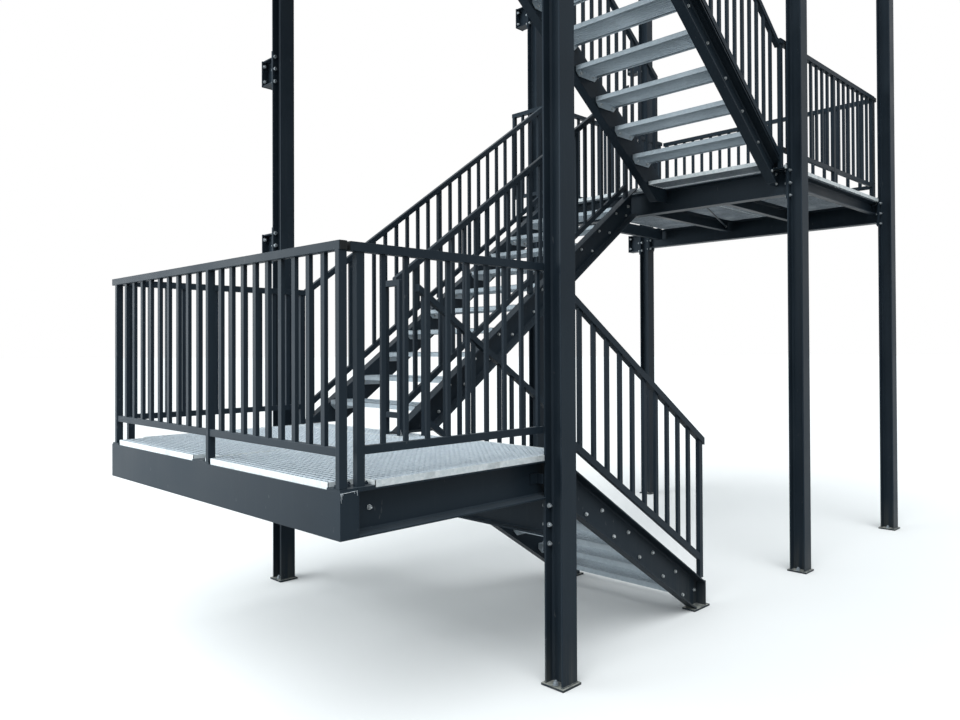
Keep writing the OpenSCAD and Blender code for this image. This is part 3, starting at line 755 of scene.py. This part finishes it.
FLANGE, COLUMN_HALF, END_PLATE_T = 11.0, 60, 12
COLUMN_BOLT, TIE_BOLT, ANCHOR = 14, 16, 16
GAUGE, TIE_GAUGE, ANCHOR_GAUGE = (-35, 35), (-42, 42), 44
TIE_ROWS, WALL_ROWS = (-95, 0, 95), (-60, 60)
# Bolt rows of the end plates under the lower and the top landing's level, and under the upper landing's
LOW_JOINT, HIGH_JOINT = (467, 369, 269), (240, 142, 42)
# Place along the wall and height of each stub tie
TIES = [(0, 2560), (0, 3925), (0, 5240), (BAY_X, 3045), (BAY_X, 5240), (FAR_X, 3045), (FAR_X, 5240)]
TIE_PLATE_T, WALL_PLATE_Y = 10.5, 2950.0
COLUMNS = ((0, 0), (BAY_X, 0), (FAR_X, 0), (FAR_X, WALL_LINE_Y), (0, WALL_LINE_Y), (BAY_X, WALL_LINE_Y))
BASE_TOP = 12


def column_bolts():
    """Bolts of the cross beams' end plates: nuts inside the column flanges, heads on the plates."""
    shape = Shape()
    inner, plate = COLUMN_HALF - FLANGE, COLUMN_HALF + END_PLATE_T
    low_joints = [(0, LOWER, LOW_JOINT), (0, TOP, LOW_JOINT)]
    high_joints = [(BAY_X, UPPER, HIGH_JOINT), (FAR_X, UPPER, HIGH_JOINT)]
    for x, level, drops in low_joints + high_joints:
        for drop in drops:
            for dx in GAUGE:
                for y, way in ((0, 1), (WALL_LINE_Y, -1)):
                    shape.bolt((x + dx, y + way * inner, level - drop), (0, -way, 0), COLUMN_BOLT, stud=True)
                    shape.bolt((x + dx, y + way * plate, level - drop), (0, way, 0), COLUMN_BOLT)
    shape.piece("column_connection_bolts", ZINC, STUD_ZINC)


def tie_bolts():
    """Bolts of the stub ties at the column flanges, and their anchors on the wall plates."""
    shape = Shape()
    face = WALL_LINE_Y + COLUMN_HALF
    for x, z in TIES:
        for dx in TIE_GAUGE:
            for dz in TIE_ROWS:
                shape.bolt((x + dx, face + TIE_PLATE_T, z + dz), (0, 1, 0), TIE_BOLT, stud=True)
                shape.bolt((x + dx, face - FLANGE, z + dz), (0, -1, 0), TIE_BOLT)
        for dx in GAUGE:
            for dz in WALL_ROWS:
                shape.bolt((x + dx, WALL_PLATE_Y, z + dz), (0, -1, 0), TIE_BOLT, stud=True)
    shape.piece("wall_tie_bolts", ZINC, STUD_ZINC)


def ground_bolts():
    """Anchor nuts on the base plates, and welds round the shafts."""
    nuts, beads = Shape(), Shape()
    half, inner, seam = COLUMN_HALF, COLUMN_HALF - FLANGE, BASE_TOP + 1
    for x, y in COLUMNS:
        for side in (-1, 1):
            nuts.bolt((x + side * ANCHOR_GAUGE, y, BASE_TOP), (0, 0, 1), ANCHOR, stud=True)
            beads.weld((x - half, y + side * half, seam), (x + half, y + side * half, seam), 4)
            beads.weld((x + side * half, y - half, seam), (x + side * half, y - inner, seam), 4)
            beads.weld((x + side * half, y + inner, seam), (x + side * half, y + half, seam), 4)
    nuts.piece("anchor_nuts", ZINC, DUSTY_AND_SHADED_ZINC)
    beads.piece("column_foot_welds", STEEL, PAINT, smooth=True)


column_bolts()
tie_bolts()
ground_bolts()

# Landings: cleats, shoes, welds and caps

# How far the cleat reaches into the web, and how far the middle of a bare run stands off the steel
BITE, RUN_OFF = 0.5, 0.5
# Legs of the cleat on the near beam, with how far each stands out, and the cleat's depths and bolt
CLEAT_LEGS, CLEAT_LOW, CLEAT_HIGH = ((-118, -66, 8), (-66.5, -58.5, 46)), 124, 72
CLEAT_BOLT_X, CLEAT_BOLT_OUT, CLEAT_BOLT_DROP = -58.5, 24, 92
# Lone bolt near the beam's end
LONE_BOLT_X, LONE_BOLT_DROP = -1157, 94
SHOE_T = 10
# Nuts on the corner posts' shoes, and heads beside the middle post: plan places
SHOE_NUTS = ((-1340, 94), (-1275, 94), (-1250, 128), (-1184, 92))
MID_POST_BOLTS = ((-1336, 1237), (-1336, 1271), (-1275, 1237), (-1275, 1271))
# Bare runs on the fascia's end: place along it, and depth
FASCIA_RUNS = ((3, 44), (7, 28), (12, 14), (70, 12), (84, 22))
# Caps: side, inset from the rail's faces, thickness
CAP_SIDE, CAP_INSET, CAP_T = 37.0, 1.5, 3.0
# Those at both ends of the left railing's rail, and those in the near and the wall rail
LEFT_CAPS_Y, CAP_X, SIDE_CAPS_Y = (42.5, LANDING_Y1 + 4.5), -1294.5, (51.5, 2486.5)
RAIL_TOP = 1003


def landing_details(tag, level):
    """Bolted cleat and lone bolt on the near beam, bolts of the railing shoes, welds and bare runs."""
    steel, bolts, painted, beads, drips = Shape(), Shape(), Shape(), Shape(), Shape()
    top = level - GRATING_DEPTH
    web, shoe = BEAM_WEB_Y, top + SHOE_T
    for x0, x1, out in CLEAT_LEGS:
        steel.box(x0, x1, web - out, web + BITE, top - CLEAT_LOW, top - CLEAT_HIGH)
    painted.bolt((CLEAT_BOLT_X, web - CLEAT_BOLT_OUT, top - CLEAT_BOLT_DROP), (1, 0, 0), 8, stud=True)
    bolts.bolt((LONE_BOLT_X, web, top - LONE_BOLT_DROP), (0, -1, 0), stud=True)
    for x, y in SHOE_NUTS:
        painted.bolt((x, y, shoe), (0, 0, 1), 10, stud=True)
    for x, y in MID_POST_BOLTS:
        painted.bolt((x, y, shoe), (0, 0, 1), 10)
    # seams of the fascia box: on top of its end, up its inner corner, and at the foot of the beam's end
    end_x, foot = FASCIA_X + FASCIA_W, top - BEAM_H
    beads.weld((FASCIA_X, LANDING_Y0 + 3, top - 1), (end_x, LANDING_Y0 + 3, top - 1), 2.6)
    beads.weld((end_x + 1, LANDING_Y0 + 1, foot + 2), (end_x + 1, LANDING_Y0 + 1, top - 2), 3.0)
    beads.weld((end_x + 1, LANDING_Y0 + 4, foot + 1), (end_x + 1, web - 2, foot + 1), 3.0)
    face = LANDING_Y0 - RUN_OFF
    drips.weld((FASCIA_X + 6, face, top - 6), (end_x - 6, face, top - 2), 1.3)
    for x, depth in FASCIA_RUNS:
        drips.weld((FASCIA_X + x, face, top - 4), (FASCIA_X + x + 2, face, top - depth), 1.0)
    drips.piece(tag + "_bare_drips", STEEL, BARE_WELD, smooth=True)
    steel.piece(tag + "_beam_cleat", STEEL, PAINT, soft=PLATE_ARRIS)
    bolts.piece(tag + "_landing_bolts", ZINC, BOLT_ZINC)
    painted.piece(tag + "_shoe_bolts", STEEL, PAINT)
    beads.piece(tag + "_landing_welds", STEEL, PAINT, smooth=True)


def end_caps():
    """Plastic caps in the open ends of the square rails."""
    shape = Shape()
    x0 = FASCIA_X + CAP_INSET
    for level in (LOWER, TOP):
        z1 = level + RAIL_TOP - CAP_INSET
        z0 = z1 - CAP_SIDE
        for y in LEFT_CAPS_Y:
            shape.box(x0, x0 + CAP_SIDE, y, y + CAP_T, z0, z1)
        for y in SIDE_CAPS_Y:
            shape.box(CAP_X, CAP_X + CAP_T, y, y + CAP_SIDE, z0, z1)
    shape.piece("rail_end_caps", STEEL, CAP, soft=PLATE_ARRIS)


landing_details("lower", LOWER)
landing_details("top", TOP)
end_caps()

# Flights' ends, brace and bare runs

# Bolts through the webs at the head of flight 2 and at the foot of flight 3: x and z
HEAD_2, HEAD_BOLT = ((2793, 3137), (2793, 3047)), 14
FOOT_3 = ((2926, 3236), (2866, 3167), (2936, 3150), (2940, 3072))
# Bolts through the flanges at the foot of flight 2: x, distance from the web, and height over the landing
FOOT_2_X, FOOT_2_OUT, FOOT_2_UP = (150, 330), 30, 9
# End plates at the heads of flights 1 and 3: face, and gauge and depths of their bolts
TRIMMER_FACE, TRIMMER_GAUGE, TRIMMER_ROWS = 160.5, 42, (185, 85)
# Stringers of flights 1 and 3, and those of flight 2: back of the web, and the way its flanges look
OUTER_PAIR = ((NEAR_Y - STANDOFF, -1), (INNER_1 + STANDOFF, 1))
WALL_PAIR = ((INNER_2 - STANDOFF, -1), (WALL_WEB + STANDOFF, 1))
# The brace runs at one height from corner to corner of the landing's middle bay
BRACE_Z = 3109.0
BRACE_FROM, BRACE_TO = Vector((3034, 948, BRACE_Z)), Vector((4946, 1648, BRACE_Z))
# Lugs that it is hooked into, as (x0, x1, y0, y1), and profiles of its lock nuts
LUGS, LUG_HALF = ((3022, 3060, 920, 928), (4900, 4958, 1640, 1648)), 30
ROD_R, LOCK_NUT = 8, [(13, 40), (13, 56)]
# Bare runs at the foot of the guard: face, and place and height of each
GUARD_FACE, GUARD_RUNS = 1300, ((-14, 40), (-6, 22), (10, 52), (17, 30))


def trimmer_bolts(shape, level):
    """Bolts of the channels' end plates on a landing's trimmer beam."""
    for back, way in OUTER_PAIR:
        for drop in TRIMMER_ROWS:
            shape.bolt((TRIMMER_FACE, back + way * TRIMMER_GAUGE, level - drop), (1, 0, 0))


def connection_bolts():
    """Bolts at the heads and feet of the flights."""
    shape = Shape()
    trimmer_bolts(shape, LOWER)
    for back, way in WALL_PAIR:
        face = back + way * STRINGER_WEB
        for x, z in HEAD_2:
            shape.bolt((x, face, z), (0, way, 0), HEAD_BOLT)
        for x in FOOT_2_X:
            shape.bolt((x, face + way * FOOT_2_OUT, LOWER + FOOT_2_UP), (0, 0, 1))
    for back, way in OUTER_PAIR:
        for x, z in FOOT_3:
            shape.bolt((x, back + way * STRINGER_WEB, z), (0, way, 0))
    trimmer_bolts(shape, TOP)
    shape.piece("flight_connection_bolts", ZINC, BOLT_ZINC)


def guard_drips():
    """Bare weld runs at the foot of the short guard."""
    shape = Shape()
    seam, face = GUARD_FACE - 1, GUARD_FACE - RUN_OFF
    shape.weld((-16, seam, LOWER + 6), (16, seam, LOWER + 6), 1.6)
    for x, high in GUARD_RUNS:
        shape.weld((x, face, LOWER + 4), (x + 2, face, LOWER + high), 1.1)
    shape.piece("guard_bare_drips", STEEL, BARE_WELD, smooth=True)


def brace():
    """Round diagonal in the upper landing's middle bay, between lugs on the cross beams, with lock nuts."""
    steel, nuts = Shape(), Shape()
    way = BRACE_TO - BRACE_FROM
    steel.turned([(ROD_R, 0), (ROD_R, way.length)], BRACE_FROM, way, 12)
    for lug in LUGS:
        steel.box(*lug, BRACE_Z - LUG_HALF, BRACE_Z + LUG_HALF)
    for end, along in ((BRACE_FROM, way), (BRACE_TO, -way)):
        nuts.turned(LOCK_NUT, end, along, 6)
    steel.piece("landing_brace_rod", STEEL, PAINT)
    nuts.piece("landing_brace_nuts", ZINC, BOLT_ZINC)


connection_bolts()
guard_drips()
brace()

# Stage

FLOOR_SEEN, FLOOR_BOUNCE = (0.80, 0.80, 0.79, 1), (0.09, 0.088, 0.082, 1)
SKY_COLOUR, SKY_STRENGTH = (0.86, 0.95, 1.0, 1), 0.62
SUN_COLOUR, SUN_STRENGTH, SUN_TURN = (0.95, 0.98, 1.0), 3.0, (0.22, -0.42, 0.0)
PANEL_COLOUR, PANEL_WATTS, PANEL_SIZE = (0.90, 0.97, 1.0), 590.0, (8.0, 5.0)
PANEL_PLACE, PANEL_AIM = Vector((-8.5, 5.5, 3.0)), Vector((-1.6, 0.0, 1.2))


def make_floor():
    """Pale plain floor under the base plates; it throws little light back, as the photo's ground does."""
    bpy.ops.mesh.primitive_plane_add(size=400, location=(0, 0, -0.001))
    floor = bpy.context.object
    floor.name = "studio_floor"
    finish = Finish("floor")
    finish.drive("Base Color", finish.mixed(finish.seen(), FLOOR_BOUNCE, FLOOR_SEEN))
    finish.shader.inputs["Roughness"].default_value = 0.95
    floor.data.materials.append(finish.material)


def make_world():
    """Overcast sky as light, and plain white where the background is seen."""
    world = bpy.data.worlds.new("studio")
    bpy.context.scene.world = world
    world.use_nodes = True
    wiring = Wiring(world.node_tree)
    sky = wiring.tree.nodes["Background"]
    sky.inputs["Color"].default_value = SKY_COLOUR
    sky.inputs["Strength"].default_value = SKY_STRENGTH
    white = wiring.new("ShaderNodeBackground", Color=(1, 1, 1, 1))
    mix = wiring.new("ShaderNodeMixShader")
    wiring.link(wiring.seen(), mix.inputs["Fac"])
    wiring.link(sky.outputs[0], mix.inputs[1])
    wiring.link(white.outputs[0], mix.inputs[2])
    wiring.link(mix.outputs[0], wiring.tree.nodes["World Output"].inputs["Surface"])


def make_lamps():
    """Soft light from above and from the left."""
    sun = bpy.data.lights.new("overcast_light", "SUN")
    sun.energy = SUN_STRENGTH
    sun.angle = 1.0
    sun.color = SUN_COLOUR
    lamp = bpy.data.objects.new("overcast_light", sun)
    lamp.rotation_euler = SUN_TURN
    bpy.context.scene.collection.objects.link(lamp)
    panel = bpy.data.lights.new("left_softbox", "AREA")
    panel.shape = "RECTANGLE"
    panel.size, panel.size_y = PANEL_SIZE
    panel.energy = PANEL_WATTS
    panel.color = PANEL_COLOUR
    softbox = bpy.data.objects.new("left_softbox", panel)
    softbox.location = PANEL_PLACE
    softbox.rotation_euler = (PANEL_AIM - PANEL_PLACE).to_track_quat("-Z", "Y").to_euler()
    softbox.visible_camera = False
    bpy.context.scene.collection.objects.link(softbox)


make_floor()
make_world()
make_lamps()
bpy.context.scene.view_settings.view_transform = "Standard"
